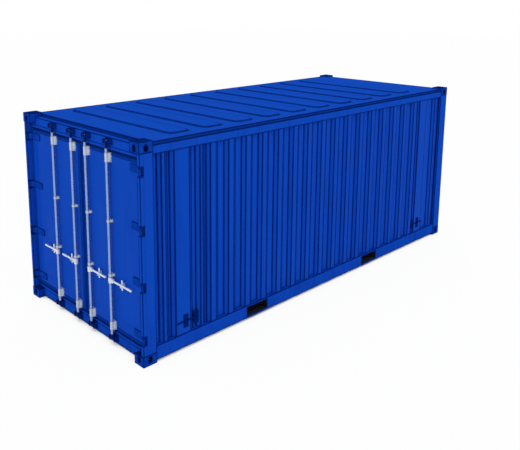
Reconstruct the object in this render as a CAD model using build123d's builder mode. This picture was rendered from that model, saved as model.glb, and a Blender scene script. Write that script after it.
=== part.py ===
from build123d import *
from math import cos, pi, sin
import os

# A twenty foot steel shipping container with a pair of end doors.
# X runs across the box, Y along it with the doors at the low end, and Z up from the ground.
# The origin is at the bottom centre. All lengths are millimetres.

os.makedirs("parts", exist_ok=True)

# Overall size
length = 6058.0
width = 2438.0
height = 2438.0

# Corner castings
casting_length = 178.0
casting_width = 162.0
casting_height = 118.0
casting_wall = 16.0
casting_plate = 28.0
casting_inner_plate = 10.0
top_hole_length = 124.0
top_hole_width = 63.0
top_hole_radius = 28.0
top_hole_from_end = 101.5
top_hole_from_side = 89.0
face_hole_width = 51.0
face_hole_height = 66.0
face_hole_radius = 20.0
casting_hole_steps = 3

# Frame
frame_inset = 5.0
plate = 6.0
post_inset = 2.0
post_nose_inset = 7.0
post_width = 47.0
post_nose_depth = 45.0
front_lip_x = 34.0
front_lip_y = 38.0
side_rail_low = 30.0
side_rail_height = 160.0
side_rail_flange = 48.0
side_rail_wall = 4.5
roof_setdown = 54.0
top_rail_height = 89.0
top_rail_width = 70.0
top_rail_wall = 3.0
end_face_recess = 79.0
sill_low = 17.0
sill_height = 143.0
sill_depth = 150.0
header_drop = 193.0
beam_wall = 5.0
front_beam_depth = 72.0
front_beam_inset = 7.0

# Sheet metal skin
sheet = 2.0
wall_recess = 10.0
wall_depth = 36.0
wall_slope = 46.0
wall_crest = 86.0
wall_crests = 16
crest_from_door_end = 1009.0
crest_from_front_end = 904.0
door_bead_from_end = (284.0, 336.0)
door_flat_from_end = (454.0, 664.0)
extra_bead_from_end = (814.0, 854.0)
front_bead_from_end = (277.0, 329.0)
front_flat_from_end = (579.0, 779.0)
slope_share = 0.36
front_wall_depth = 45.0
front_wall_side_gap = 57.0
front_wall_crest = 104.0
front_wall_slope = 18.0
front_wall_crests = 7
front_wall_recess = 10.0

# Roof
roof_rise = 30.0
roof_side_gap = 24.0
roof_lap = 20.0
pad_count = 10
pad_from_door_end = 559.0
pad_from_front_end = 744.0
pad_side_gap = 37.0
pad_width = 300.0
pad_corner = 70.0
pad_corner_steps = 2
pad_height = 14.0
pad_draft = 45.0

# Underframe and floor
floor_thickness = 28.0
floor_top = 198.0
floor_side_gap = 6.0
floor_gap = 3.0
floor_boards = 5
member_height = 122.0
member_flange = 45.0
member_wall = 4.0
member_pitch = 300.0
pocket_centres = (-1300.0, 1045.0)
pocket_width = 352.0
pocket_height = 115.0
pocket_wall = 3.0
pocket_strap = 6.0
pocket_strap_reach = 400.0
pocket_member_gap = 30.0

# Doors
opening_side_gap = 20.0
meeting_half_gap = 20.0
leaf_end_gap = 20.0
leaf_thickness = 52.0
leaf_stile = 100.0
leaf_rail = 150.0
leaf_tube_wall = 3.0
panel_inset = 2.0
panel_thickness = 3.0
gasket_reach = 14.0
gasket_meeting_reach = 15.0
gasket_thickness = 20.0
gasket_setback = 20.0

# Hinges
hinge_shares = (0.0567, 0.3487, 0.6504, 0.9555)
pin_inset_x = 16.0
pin_inset_y = 16.0
pin_radius = 8.0
knuckle_radius = 14.0
round_sides = 12
pin_sides = 10
blade_height = 80.0
blade_thickness = 10.0
blade_reach = 242.0
blade_tip_chamfer = 12.0
blade_seat_start = 62.0
blade_neck_start = 38.0
blade_neck_end = 15.0
blade_neck_offset = 25.5
lug_thickness = 12.0
lug_gap = 1.0
pin_clearance = 0.4

# Lock gear
bar_shares = (-0.4733, -0.1231, 0.1231, 0.4733)
handle_sides = (-1, -1, 1, 1)
handle_lengths = (310.0, 310.0, 330.0, 400.0)
catch_offsets = (115.0, 115.0, 180.0, 205.0)
bar_radius = 17.0
bar_standoff = 38.0
bar_rise = 53.0
bar_drop = 22.0
cam_thickness = 30.0
cam_radius = 23.0
cam_reach = 36.0
cam_tip_radius = 12.0
cam_hook_radius = 9.0
cam_hook_place = 29.0
cam_hook_depth = 18.0
bore_gap = 0.4
bracket_width = 80.0
bracket_height = 104.0
bracket_plate = 6.0
bracket_from_leaf_end = 54.0
guide_width = 74.0
guide_height = 34.0
guide_shares = (0.3203, 0.6264)
saddle_cover = 4.0
saddle_foot = 10.0
handle_share = 0.291
hub_radius = 25.0
hub_height = 60.0
jaw_reach = 58.0
jaw_height = 40.0
jaw_depth = 24.0
pivot_radius = 8.0
pivot_place = 44.0
pivot_length = 30.0
lever_thickness = 10.0
lever_height = 20.0
grip_length = 90.0
grip_thickness = 16.0
catch_width = 24.0
catch_height = 118.0
catch_gap = 5.0
catch_plate = 6.0
catch_shelf = 8.0
catch_drop = 5.0

# Keepers
keeper_plate = 6.0
keeper_reach = 60.0
keeper_side_gap = 9.0
keeper_nose_share = 0.62
header_keeper_height = 72.0
sill_keeper_height = 92.0

# Cleats on the flat panels
cleat_plate_length = 70.0
cleat_plate_height = 155.0
cleat_plate_thickness = 3.0
cleat_plate_gap = 76.0
cleat_bar_height = 18.0
cleat_bar_thickness = 3.0
cleat_bar_tail = 88.0
cleat_foot_length = 10.0
cleat_foot_height = 120.0
cleat_rise = 145.0
cleat_offset = 33.0

# Shared places, worked out from the sizes above
half_length = length / 2
half_width = width / 2
casting_inner_x = half_width - casting_width
casting_inner_y = half_length - casting_length
post_face_x = half_width - post_inset
post_inner_x = post_face_x - post_width
post_nose_y = post_nose_inset - half_length
post_floor_y = post_nose_y + post_nose_depth
rail_face_x = half_width - frame_inset
end_face_y = end_face_recess - half_length
bar_y = end_face_y - bar_standoff
pin_x = half_width - pin_inset_x
pin_y = pin_inset_y - half_length
leaf_outer_x = post_inner_x - opening_side_gap
side_rail_high = side_rail_low + side_rail_height
top_rail_high = height - roof_setdown
top_rail_low = top_rail_high - top_rail_height
sill_high = sill_low + sill_height
header_low = height - header_drop
leaf_bottom = sill_high + leaf_end_gap
leaf_top = header_low - leaf_end_gap
leaf_height = leaf_top - leaf_bottom
hinge_heights = [leaf_bottom + share * leaf_height for share in hinge_shares]
guide_heights = [leaf_bottom + share * leaf_height for share in guide_shares]
bracket_heights = [leaf_bottom + bracket_from_leaf_end, leaf_top - bracket_from_leaf_end]
handle_height = leaf_bottom + handle_share * leaf_height
bar_places = [share * half_width for share in bar_shares]
bar_low = sill_low + bar_rise
bar_high = top_rail_high - bar_drop
floor_low = floor_top - floor_thickness
member_low = floor_low - member_height
pocket_high = floor_low - pocket_wall
pocket_low = pocket_high - pocket_height


def save(shape, name):
    """Name a finished sub-part and write it to its own file."""
    shape.label = name
    export_step(shape, f"parts/{name}.step")


def block(x, y, z, mode=Mode.ADD):
    """Add or cut a box given by its low and high place on each axis."""
    with Locations(((x[0] + x[1]) / 2, (y[0] + y[1]) / 2, (z[0] + z[1]) / 2)):
        Box(abs(x[1] - x[0]), abs(y[1] - y[0]), abs(z[1] - z[0]), mode=mode)


def side_name(sign):
    return "right" if sign > 0 else "left"


def rounded_points(wide, tall, radius, steps):
    """Outline of a rectangle whose corners are rounded in a few straight steps."""
    points = []
    for corner, (across, up) in enumerate(((1, 1), (-1, 1), (-1, -1), (1, -1))):
        for step in range(steps + 1):
            angle = (corner + step / steps) * pi / 2
            x = across * (wide / 2 - radius) + radius * cos(angle)
            y = up * (tall / 2 - radius) + radius * sin(angle)
            points.append((x, y))
    return points


def few_sided(radius, sides, mode=Mode.ADD):
    """A round with few sides: the flats of a hole and the corners of a pin lie on its circle."""
    RegularPolygon(radius, sides, major_radius=mode == Mode.ADD, mode=mode)


def make_casting(side, end, top):
    """Corner casting: a hollow block with an aperture in each of its three outer faces."""
    x = (side * casting_inner_x, side * half_width)
    y = (end * casting_inner_y, end * half_length)
    z = (height - casting_height, height) if top else (0, casting_height)
    hollow_x = (x[0] + side * casting_wall, x[1] - side * casting_wall)
    hollow_y = (y[0] + end * casting_wall, y[1] - end * casting_wall)
    if top:
        hollow_z = (z[0] + casting_inner_plate, z[1] - casting_plate)
    else:
        hollow_z = (z[0] + casting_plate, z[1] - casting_inner_plate)
    middle = ((x[0] + x[1]) / 2, (y[0] + y[1]) / 2, (hollow_z[0] + hollow_z[1]) / 2)
    outer_z = z[1] if top else z[0]
    aperture = (side * (half_width - top_hole_from_side), end * (half_length - top_hole_from_end))
    face_hole = rounded_points(face_hole_width, face_hole_height, face_hole_radius, casting_hole_steps)
    top_hole = rounded_points(top_hole_length, top_hole_width, top_hole_radius, casting_hole_steps)
    with BuildPart() as casting:
        block(x, y, z)
        block(hollow_x, hollow_y, hollow_z, mode=Mode.SUBTRACT)
        with BuildSketch(Plane(origin=(*aperture, outer_z), x_dir=(0, 1, 0), z_dir=(0, 0, 1))):
            Polygon(*top_hole)
        extrude(amount=casting_plate, both=True, mode=Mode.SUBTRACT)
        with BuildSketch(Plane(origin=(x[1], middle[1], middle[2]), x_dir=(0, 1, 0), z_dir=(side, 0, 0))):
            Polygon(*face_hole)
        extrude(amount=-casting_wall, mode=Mode.SUBTRACT)
        with BuildSketch(Plane(origin=(middle[0], y[1], middle[2]), x_dir=(1, 0, 0), z_dir=(0, end, 0))):
            Polygon(*face_hole)
        extrude(amount=-casting_wall, mode=Mode.SUBTRACT)
    level = "top" if top else "bottom"
    place = "door" if end < 0 else "front"
    save(casting.part, f"casting_{level}_{place}_{side_name(side)}")


for casting_side in (-1, 1):
    for casting_end in (-1, 1):
        for casting_top in (False, True):
            make_casting(casting_side, casting_end, casting_top)


# Door end corner posts, notched in front for the hinges

post_z = (casting_height, height - casting_height)
notch_half = blade_height / 2 + lug_gap + lug_thickness

for side in (-1, 1):
    with BuildPart() as door_post:
        block((side * post_inner_x, side * post_face_x), (post_nose_y, -casting_inner_y), post_z)
        hollow_x = (side * (post_inner_x + plate), side * (post_face_x - plate))
        block(hollow_x, (post_floor_y + plate, -casting_inner_y - plate), post_z, mode=Mode.SUBTRACT)
        block(hollow_x, (post_nose_y + plate, post_floor_y), post_z, mode=Mode.SUBTRACT)
        for hinge_z in hinge_heights:
            notch_z = (hinge_z - notch_half, hinge_z + notch_half)
            notch_x = (side * (post_inner_x - plate), side * half_width)
            block(notch_x, (post_nose_y - plate, post_floor_y), notch_z, mode=Mode.SUBTRACT)
    save(door_post.part, f"post_door_{side_name(side)}")

# Front end corner posts, bent from plate

for side in (-1, 1):
    with BuildPart() as front_post:
        with BuildSketch(Plane.XY.offset(casting_height)):
            with BuildLine():
                post_line_x = post_face_x - plate / 2
                post_line_y = half_length - post_inset - plate / 2
                Polyline(
                    (side * (post_face_x - front_lip_x), casting_inner_y + plate / 2),
                    (side * post_line_x, casting_inner_y + plate / 2),
                    (side * post_line_x, post_line_y),
                    (side * (casting_inner_x + plate / 2), post_line_y),
                    (side * (casting_inner_x + plate / 2), post_line_y - front_lip_y),
                )
            trace(line_width=plate)
        extrude(amount=height - casting_height - casting_height)
    save(front_post.part, f"post_front_{side_name(side)}")

# Side rails of the base and of the roof

for side in (-1, 1):
    with BuildPart() as base_rail:
        rail_x = (side * (rail_face_x - side_rail_flange), side * rail_face_x)
        block(rail_x, (-casting_inner_y, casting_inner_y), (side_rail_low, side_rail_high))
        channel_x = (rail_x[0], side * (rail_face_x - side_rail_wall))
        channel_z = (side_rail_low + side_rail_wall, side_rail_high - side_rail_wall)
        block(channel_x, (-casting_inner_y, casting_inner_y), channel_z, mode=Mode.SUBTRACT)
        for centre in pocket_centres:
            mouth_y = (centre - pocket_width / 2, centre + pocket_width / 2)
            block(rail_x, mouth_y, (pocket_low, pocket_high), mode=Mode.SUBTRACT)
    save(base_rail.part, f"rail_bottom_{side_name(side)}")
    with BuildPart() as roof_rail:
        rail_x = (side * (rail_face_x - top_rail_width), side * rail_face_x)
        block(rail_x, (-casting_inner_y, casting_inner_y), (top_rail_low, top_rail_high))
        tube_x = (rail_x[0] + side * top_rail_wall, rail_x[1] - side * top_rail_wall)
        tube_z = (top_rail_low + top_rail_wall, top_rail_high - top_rail_wall)
        block(tube_x, (-casting_inner_y, casting_inner_y), tube_z, mode=Mode.SUBTRACT)
    save(roof_rail.part, f"rail_top_{side_name(side)}")


def make_end_beam(name, y, z, ear_z, ear_y, ear_x):
    """Hollow cross beam between two castings, with ears that reach the posts."""
    with BuildPart() as beam:
        block((-casting_inner_x, casting_inner_x), y, z)
        block(
            (-casting_inner_x, casting_inner_x),
            (y[0] + beam_wall, y[1] - beam_wall),
            (z[0] + beam_wall, z[1] - beam_wall),
            mode=Mode.SUBTRACT,
        )
        for side in (-1, 1):
            block((side * (casting_inner_x - beam_wall), side * ear_x), ear_y, ear_z)
    save(beam.part, name)


door_ear_y = (end_face_y, -casting_inner_y)
make_end_beam(
    "door_sill",
    (end_face_y, end_face_y + sill_depth),
    (sill_low, sill_high),
    (casting_height, sill_high),
    door_ear_y,
    post_inner_x,
)
make_end_beam(
    "door_header",
    (end_face_y, -casting_inner_y),
    (header_low, top_rail_high),
    (header_low, height - casting_height),
    door_ear_y,
    post_inner_x,
)
front_beam_y = (half_length - front_beam_inset - front_beam_depth, half_length - front_beam_inset)
front_ear_y = (front_beam_y[0], half_length - post_inset - plate - front_lip_y)
make_end_beam(
    "front_sill",
    front_beam_y,
    (side_rail_low, side_rail_high),
    (casting_height, side_rail_high),
    front_ear_y,
    casting_inner_x + plate,
)
make_end_beam(
    "front_header",
    front_beam_y,
    (top_rail_low, top_rail_high),
    (top_rail_low, height - casting_height),
    front_ear_y,
    casting_inner_x + plate,
)


# Corrugated walls

def corrugated_line(crests, start, end, run, depth):
    """Outer line of a corrugated sheet as (along, inward) points, from its crest intervals."""
    points = [(start, depth)]
    stops = [(start, start)] + list(crests) + [(end, end)]
    for before, after in zip(stops, stops[1:]):
        slope = min(run, (after[0] - before[1]) * slope_share)
        if before[1] > start:
            points.append((before[1] + slope, depth))
        if after[0] < end:
            points.append((after[0] - slope, depth))
            points.append((after[0], 0))
            points.append((after[1], 0))
    points.append((end, depth))
    return points


def crests_between(first, last, count, crest):
    """Crest intervals spread evenly from the first centre to the last."""
    pitch = (last - first) / (count - 1)
    centres = [first + pitch * turn for turn in range(count)]
    return [(centre - crest / 2, centre + crest / 2) for centre in centres]


def from_door_end(span):
    return (span[0] - half_length, span[1] - half_length)


def from_front_end(span):
    return (half_length - span[1], half_length - span[0])


door_flat = from_door_end(door_flat_from_end)
front_flat = from_front_end(front_flat_from_end)
side_crests = [from_door_end(door_bead_from_end), door_flat, from_door_end(extra_bead_from_end)]
side_crests += crests_between(
    crest_from_door_end - half_length,
    half_length - crest_from_front_end,
    wall_crests,
    wall_crest,
)
side_crests += [front_flat, from_front_end(front_bead_from_end)]
wall_face_x = half_width - wall_recess

for side in (-1, 1):
    outline = corrugated_line(side_crests, -casting_inner_y, casting_inner_y, wall_slope, wall_depth)
    outer = [(side * (wall_face_x - inward), along) for along, inward in outline]
    inner = [(x - side * sheet, along) for x, along in reversed(outer)]
    with BuildPart() as side_wall:
        with BuildSketch(Plane.XY.offset(side_rail_high)):
            with BuildLine():
                Polyline(*outer, *inner, close=True)
            make_face()
        extrude(amount=top_rail_low - side_rail_high)
    save(side_wall.part, f"side_wall_{side_name(side)}")

front_wall_y = half_length - front_wall_recess
front_half = casting_inner_x
last_front_crest = front_half - front_wall_side_gap - front_wall_crest - 2 * front_wall_slope
front_crests = crests_between(-last_front_crest, last_front_crest, front_wall_crests, front_wall_crest)
outline = corrugated_line(front_crests, -front_half, front_half, front_wall_slope, front_wall_depth)
outer = [(across, front_wall_y - inward) for across, inward in outline]
inner = [(across, y - sheet) for across, y in reversed(outer)]
with BuildPart() as front_wall:
    with BuildSketch(Plane.XY.offset(side_rail_high)):
        with BuildLine():
            Polyline(*outer, *inner, close=True)
        make_face()
    extrude(amount=top_rail_low - side_rail_high)
save(front_wall.part, "front_wall")

# Roof sheet, folded down to the rails all round, with its row of pressed pads

roof_low = top_rail_high + roof_rise
roof_high = roof_low + sheet
roof_y = (-casting_inner_y - roof_lap, front_beam_y[0] + roof_lap)
roof_half_width = half_width - roof_side_gap
pad_spans = crests_between(
    pad_from_door_end + pad_width / 2 - half_length,
    half_length - pad_from_front_end - pad_width / 2,
    pad_count,
    pad_width,
)
pad_places = [(0, (low + high) / 2) for low, high in pad_spans]
pad_length = 2 * (casting_inner_x - pad_side_gap)
pad_outline = rounded_points(pad_length, pad_width, pad_corner, pad_corner_steps)
with BuildPart() as roof:
    for inset, top, mode in ((0, roof_high, Mode.ADD), (sheet, roof_low, Mode.SUBTRACT)):
        wide_x = (inset - roof_half_width, roof_half_width - inset)
        wide_y = (inset - casting_inner_y, casting_inner_y - inset)
        block(wide_x, wide_y, (top_rail_high, top), mode=mode)
        narrow_x = (inset - casting_inner_x, casting_inner_x - inset)
        block(narrow_x, (roof_y[0] + inset, roof_y[1] - inset), (top_rail_high, top), mode=mode)
    with BuildSketch(Plane.XY.offset(roof_high)):
        with Locations(*pad_places):
            Polygon(*pad_outline)
    extrude(amount=pad_height, taper=pad_draft)
    with BuildSketch(Plane.XY.offset(roof_low)):
        with Locations(*pad_places):
            Polygon(*pad_outline)
    extrude(amount=pad_height, taper=pad_draft, mode=Mode.SUBTRACT)
save(roof.part, "roof")

# Cross members under the floor, with the fork pockets between them

pocket_zones = [
    (centre - pocket_width / 2 - pocket_member_gap, centre + pocket_width / 2 + pocket_member_gap)
    for centre in pocket_centres
]
member_half = int(casting_inner_y // member_pitch)
member_places = [
    member_pitch * turn
    for turn in range(-member_half, member_half + 1)
    if not any(low < member_pitch * turn < high for low, high in pocket_zones)
]
with BuildPart() as members:
    member_x = (side_rail_wall - rail_face_x, rail_face_x - side_rail_wall)
    for place in member_places:
        block(member_x, (place - member_flange / 2, place + member_flange / 2), (member_low, floor_low))
        block(
            member_x,
            (place - member_flange / 2 + member_wall, place + member_flange / 2),
            (member_low + member_wall, floor_low - member_wall),
            mode=Mode.SUBTRACT,
        )
save(members.part, "cross_members")

with BuildPart() as pockets:
    tunnel_x = (side_rail_wall - rail_face_x, rail_face_x - side_rail_wall)
    for centre in pocket_centres:
        mouth_y = (centre - pocket_width / 2, centre + pocket_width / 2)
        shell_y = (mouth_y[0] - pocket_wall, mouth_y[1] + pocket_wall)
        block(tunnel_x, shell_y, (pocket_low - pocket_strap, floor_low))
        block(tunnel_x, mouth_y, (pocket_low, pocket_high), mode=Mode.SUBTRACT)
        open_x = (tunnel_x[0] + pocket_strap_reach, tunnel_x[1] - pocket_strap_reach)
        block(open_x, mouth_y, (pocket_low - pocket_strap, pocket_low), mode=Mode.SUBTRACT)
save(pockets.part, "fork_pockets")

# Plywood floor boards

floor_half_width = rail_face_x - side_rail_flange - floor_side_gap
floor_y = (end_face_y + sill_depth, front_beam_y[0])
board_length = (floor_y[1] - floor_y[0] - floor_gap * (floor_boards - 1)) / floor_boards
with BuildPart() as floor:
    for board in range(floor_boards):
        board_y = floor_y[0] + board * (board_length + floor_gap)
        for side in (-1, 1):
            board_x = (side * floor_gap / 2, side * floor_half_width)
            block(board_x, (board_y, board_y + board_length), (floor_low, floor_top))
save(floor.part, "floor")

# Hinge lugs on the door posts

with BuildPart() as lugs:
    for side in (-1, 1):
        for hinge_z in hinge_heights:
            for step in (-1, 1):
                lug_start = hinge_z + step * (blade_height / 2 + lug_gap)
                lug_low = min(lug_start, lug_start + step * lug_thickness)
                with BuildSketch(Plane.XY.offset(lug_low)):
                    with Locations((side * pin_x, (pin_y + post_floor_y) / 2)):
                        Rectangle(2 * knuckle_radius, post_floor_y - pin_y)
                    with Locations((side * pin_x, pin_y)):
                        few_sided(knuckle_radius, round_sides)
                        few_sided(pin_radius + pin_clearance, pin_sides, mode=Mode.SUBTRACT)
                extrude(amount=lug_thickness)
save(lugs.part, "hinge_lugs")

# Keepers on the header and the sill, open to the front, with tapered cheeks

cam_side_reach = cam_reach + cam_tip_radius + keeper_side_gap


def make_keepers(name, middle, tall):
    nose = tall * keeper_nose_share
    with BuildPart() as keepers:
        for place, hand in zip(bar_places, handle_sides):
            near = place - hand * (cam_radius + keeper_side_gap + keeper_plate)
            far = place + hand * (cam_side_reach + keeper_plate)
            z = (middle - tall / 2, middle + tall / 2)
            block((near, far), (end_face_y - keeper_plate, end_face_y), z)
            for cheek in (min(near, far), max(near, far) - keeper_plate):
                with BuildSketch(Plane(origin=(cheek, 0, 0), x_dir=(0, 1, 0), z_dir=(1, 0, 0))):
                    Polygon(
                        (end_face_y, z[0]),
                        (end_face_y, z[1]),
                        (end_face_y - keeper_reach, middle + nose / 2),
                        (end_face_y - keeper_reach, middle - nose / 2),
                        align=None,
                    )
                extrude(amount=keeper_plate)
    save(keepers.part, name)


make_keepers("keepers_header", bar_high - cam_thickness / 2, header_keeper_height)
make_keepers("keepers_sill", bar_low + cam_thickness / 2, sill_keeper_height)

# Cleats low on both long sides: a plate on the flat panel, a bar across it, and a second plate
# that the bar reaches and that stands on a foot in the next hollow of the wall

cleat_height = side_rail_high + cleat_rise
cleat_places = [
    ((door_flat[0] + door_flat[1]) / 2 + cleat_offset, 1),
    ((front_flat[0] + front_flat[1]) / 2, -1),
]
cleat_z = (cleat_height - cleat_plate_height / 2, cleat_height + cleat_plate_height / 2)
cleat_bar_z = (cleat_height - cleat_bar_height / 2, cleat_height + cleat_bar_height / 2)
cleat_foot_z = (cleat_height - cleat_foot_height / 2, cleat_height + cleat_foot_height / 2)
with BuildPart() as cleats:
    for side in (-1, 1):
        plate_x = (side * wall_face_x, side * (wall_face_x + cleat_plate_thickness))
        bar_x = (plate_x[1], plate_x[1] + side * cleat_bar_thickness)
        foot_x = (side * (wall_face_x - wall_depth), plate_x[0])
        for place, way in cleat_places:
            second_place = place + way * (cleat_plate_length + cleat_plate_gap)
            second_end = second_place + way * cleat_plate_length / 2
            for middle in (place, second_place):
                plate_y = (middle - cleat_plate_length / 2, middle + cleat_plate_length / 2)
                block(plate_x, plate_y, cleat_z)
            tail_end = place - way * (cleat_plate_length / 2 + cleat_bar_tail)
            block(bar_x, (min(tail_end, second_end), max(tail_end, second_end)), cleat_bar_z)
            foot_y = (second_place - cleat_foot_length / 2, second_place + cleat_foot_length / 2)
            block(foot_x, foot_y, cleat_foot_z)
save(cleats.part, "side_cleats")


# Door leaves

def make_leaf(side):
    x = (side * meeting_half_gap, side * leaf_outer_x)
    y = (end_face_y, end_face_y + leaf_thickness)
    z = (leaf_bottom, leaf_top)
    window_x = (x[0] + side * leaf_stile, x[1] - side * leaf_stile)
    window_z = (z[0] + leaf_rail, z[1] - leaf_rail)
    wall = leaf_tube_wall
    with BuildPart() as leaf_frame:
        block(x, y, z)
        block(window_x, y, window_z, mode=Mode.SUBTRACT)
        inside_y = (y[0] + wall, y[1] - wall)
        for low, high in ((x[0], window_x[0]), (window_x[1], x[1])):
            stile_x = (low + side * wall, high - side * wall)
            block(stile_x, inside_y, (z[0] + wall, z[1] - wall), mode=Mode.SUBTRACT)
        for low, high in ((z[0], window_z[0]), (window_z[1], z[1])):
            block((window_x[0], window_x[1]), inside_y, (low + wall, high - wall), mode=Mode.SUBTRACT)
    save(leaf_frame.part, f"door_{side_name(side)}_frame")
    with BuildPart() as panel:
        panel_y = (end_face_y + panel_inset, end_face_y + panel_inset + panel_thickness)
        block(window_x, panel_y, window_z)
    save(panel.part, f"door_{side_name(side)}_panel")
    with BuildPart() as gasket:
        lip_x = (x[0] - side * gasket_meeting_reach, x[1] + side * gasket_reach)
        lip_y = (y[0] + gasket_setback, y[0] + gasket_setback + gasket_thickness)
        block(lip_x, lip_y, (z[0] - gasket_reach, z[1] + gasket_reach))
        block(x, lip_y, z, mode=Mode.SUBTRACT)
    save(gasket.part, f"door_{side_name(side)}_gasket")


def make_blades(side):
    """Four forged hinge blades: a flat tail on the leaf, a cranked neck and a knuckle with its pin."""
    seat_y = end_face_y - blade_thickness / 2
    neck_y = pin_y + blade_neck_offset
    pin_half = blade_height / 2 + lug_gap + lug_thickness
    tail_x = side * (pin_x - blade_reach)
    with BuildPart() as blades:
        for hinge_z in hinge_heights:
            with BuildSketch(Plane.XY.offset(hinge_z - blade_height / 2)):
                with BuildLine():
                    Polyline(
                        (tail_x, seat_y),
                        (side * (pin_x - blade_seat_start), seat_y),
                        (side * (pin_x - blade_neck_start), neck_y),
                        (side * (pin_x - blade_neck_end), neck_y),
                        (side * pin_x, pin_y),
                    )
                trace(line_width=blade_thickness)
                with Locations((side * pin_x, pin_y)):
                    few_sided(knuckle_radius, round_sides)
            extrude(amount=blade_height)
            with BuildSketch(Plane(origin=(tail_x, end_face_y, hinge_z), x_dir=(1, 0, 0), z_dir=(0, -1, 0))):
                with Locations((0, -blade_height / 2), (0, blade_height / 2)):
                    Rectangle(blade_tip_chamfer, blade_tip_chamfer, rotation=45)
            extrude(amount=blade_thickness, mode=Mode.SUBTRACT)
            with BuildSketch(Plane.XY.offset(hinge_z - pin_half)):
                with Locations((side * pin_x, pin_y)):
                    few_sided(pin_radius, pin_sides)
            extrude(amount=2 * pin_half)
    save(blades.part, f"door_{side_name(side)}_hinges")


def make_saddle(place, z_middle, plate_width, tall):
    """A plate on the leaf with a rounded saddle that holds the lock bar."""
    low = z_middle - tall / 2
    block(
        (place - plate_width / 2, place + plate_width / 2),
        (end_face_y - bracket_plate, end_face_y),
        (low, low + tall),
    )
    saddle_radius = bar_radius + saddle_cover
    with BuildSketch(Plane.XY.offset(low)) as saddle:
        with Locations((place, bar_y)):
            few_sided(saddle_radius, round_sides)
        Polygon(
            (place - saddle_radius, bar_y),
            (place + saddle_radius, bar_y),
            (place + saddle_radius + saddle_foot, end_face_y),
            (place - saddle_radius - saddle_foot, end_face_y),
            align=None,
        )
        with Locations((place, bar_y)):
            few_sided(bar_radius + bore_gap, round_sides, mode=Mode.SUBTRACT)
    extrude(saddle.sketch, amount=tall)


def door_bars(side):
    """Numbers of the two lock bars on a leaf, counted from the left."""
    return [number for number, place in enumerate(bar_places) if place * side > 0]


def make_guides(side):
    with BuildPart() as guides:
        for number in door_bars(side):
            for z_middle in bracket_heights:
                make_saddle(bar_places[number], z_middle, bracket_width, bracket_height)
            for z_middle in guide_heights:
                make_saddle(bar_places[number], z_middle, guide_width, guide_height)
    save(guides.part, f"door_{side_name(side)}_bar_guides")


def make_catches(side):
    """Catches behind the handles, open to the front so that a handle swings out."""
    back = bar_y + lever_thickness / 2 + catch_gap
    front = bar_y - lever_thickness / 2
    with BuildPart() as catches:
        for number in door_bars(side):
            place = bar_places[number] + handle_sides[number] * catch_offsets[number]
            with BuildSketch(Plane(origin=(place, back, handle_height), x_dir=(1, 0, 0), z_dir=(0, 1, 0))):
                Polygon(*rounded_points(catch_width, catch_height, catch_width / 3, pad_corner_steps))
            extrude(amount=catch_plate)
            x = (place - catch_width / 2, place + catch_width / 2)
            stem_z = (handle_height - lever_height, handle_height + lever_height)
            block(x, (back, end_face_y + panel_inset), stem_z)
            shelf_high = handle_height - lever_height / 2 - catch_drop
            block(x, (front - catch_plate, back), (shelf_high - catch_shelf, shelf_high))
    save(catches.part, f"door_{side_name(side)}_catches")


for door_side in (-1, 1):
    make_leaf(door_side)
    make_blades(door_side)
    make_guides(door_side)
    make_catches(door_side)


# Lock bars with their hooked cams, and the handles

def make_bar(number):
    place = bar_places[number]
    hand = handle_sides[number]
    with BuildPart() as bar:
        with BuildSketch(Plane.XY.offset(bar_low)):
            with Locations((place, bar_y)):
                Circle(bar_radius)
        extrude(amount=bar_high - bar_low)
        for cam_low in (bar_low, bar_high - cam_thickness):
            with BuildSketch(Plane.XY.offset(cam_low)):
                with Locations((place, bar_y)):
                    few_sided(cam_radius, round_sides)
                with Locations((place + hand * cam_reach, bar_y)):
                    few_sided(cam_tip_radius, pin_sides)
                make_hull()
                with Locations((place + hand * cam_hook_place, bar_y + cam_hook_depth)):
                    few_sided(cam_hook_radius, pin_sides, mode=Mode.SUBTRACT)
            extrude(amount=cam_thickness)
    save(bar.part, f"lock_bar_{number + 1}")


def make_handle(number):
    """A hub on the bar with a jaw, the lever that sits in it, its pivot and its grip."""
    place = bar_places[number]
    hand = handle_sides[number]
    root = place + hand * bar_radius
    tip = place + hand * handle_lengths[number]
    with BuildPart() as handle:
        with BuildSketch(Plane.XY.offset(handle_height - hub_height / 2)):
            with Locations((place, bar_y)):
                few_sided(hub_radius, round_sides)
                few_sided(bar_radius, round_sides, mode=Mode.SUBTRACT)
        extrude(amount=hub_height)
        jaw_z = (handle_height - jaw_height / 2, handle_height + jaw_height / 2)
        block((root, place + hand * jaw_reach), (bar_y - jaw_depth / 2, bar_y + jaw_depth / 2), jaw_z)
        lever_y = (bar_y - lever_thickness / 2, bar_y + lever_thickness / 2)
        lever_z = (handle_height - lever_height / 2, handle_height + lever_height / 2)
        block((root, tip - hand * grip_length / 2), lever_y, lever_z)
        grip = (tip - hand * grip_length / 2, bar_y + grip_thickness / 2, handle_height)
        with BuildSketch(Plane(origin=grip, x_dir=(1, 0, 0), z_dir=(0, -1, 0))):
            Polygon(*rounded_points(grip_length, lever_height, lever_height / 3, pad_corner_steps))
        extrude(amount=grip_thickness)
        pivot = (place + hand * pivot_place, bar_y + pivot_length / 2, handle_height)
        with BuildSketch(Plane(origin=pivot, x_dir=(1, 0, 0), z_dir=(0, -1, 0))):
            few_sided(pivot_radius, pin_sides)
        extrude(amount=pivot_length)
    save(handle.part, f"handle_{number + 1}")


for bar_number in range(len(bar_places)):
    make_bar(bar_number)
    make_handle(bar_number)
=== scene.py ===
# %% [markdown]
# # Dressing a steel shipping container
#
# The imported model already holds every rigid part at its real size: corner castings, posts, rails,
# corrugated walls, doors and lock gear. This lesson adds what a welder, a fitter and a paint shop
# add: weld beads, sealant, seal lips, bolts, rivets and screws, and a finish for each surface.
# Everything is in metres, with the doors at the low end of Y and the ground at zero.

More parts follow.
